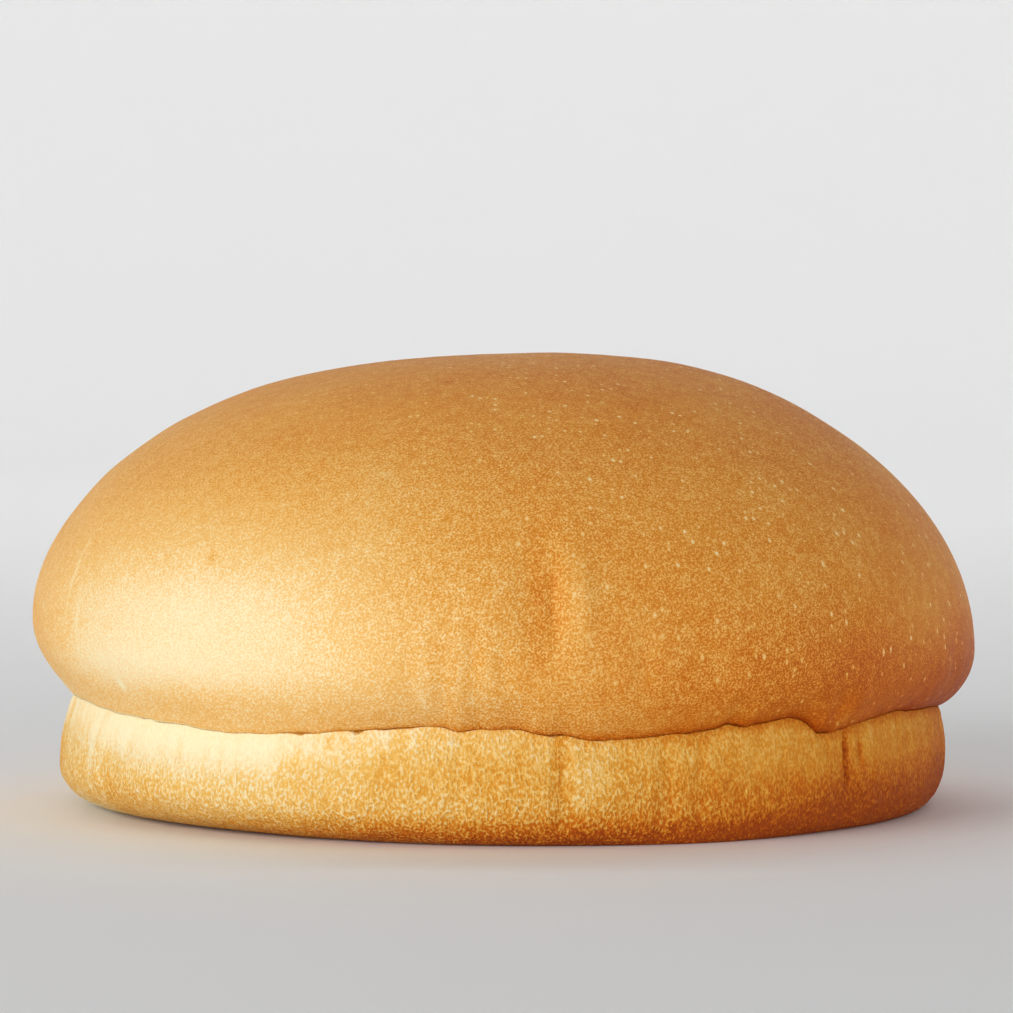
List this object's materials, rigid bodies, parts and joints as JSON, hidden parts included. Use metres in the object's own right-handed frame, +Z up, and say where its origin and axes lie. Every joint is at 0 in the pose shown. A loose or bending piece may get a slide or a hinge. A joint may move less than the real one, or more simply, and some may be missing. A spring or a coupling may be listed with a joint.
{
  "type": "hamburger bun",
  "caption": "Round golden-brown bread bun, uncut: a smooth domed crown folds over a shorter pan-shaped heel with a wavy crease between them.",
  "frame": {"origin": "middle of the flat underside, on the surface that the bun rests on", "axes": "+Z up through the crown, +X to the right along the wider way, -Y towards the side that the picture shows"},
  "size_m": [0.102, 0.1004, 0.049],
  "materials": {
    "crust": "satin baked crust"
  },
  "bodies": {
    "root": {"bun": "crust"}
  },
  "joints": []
}
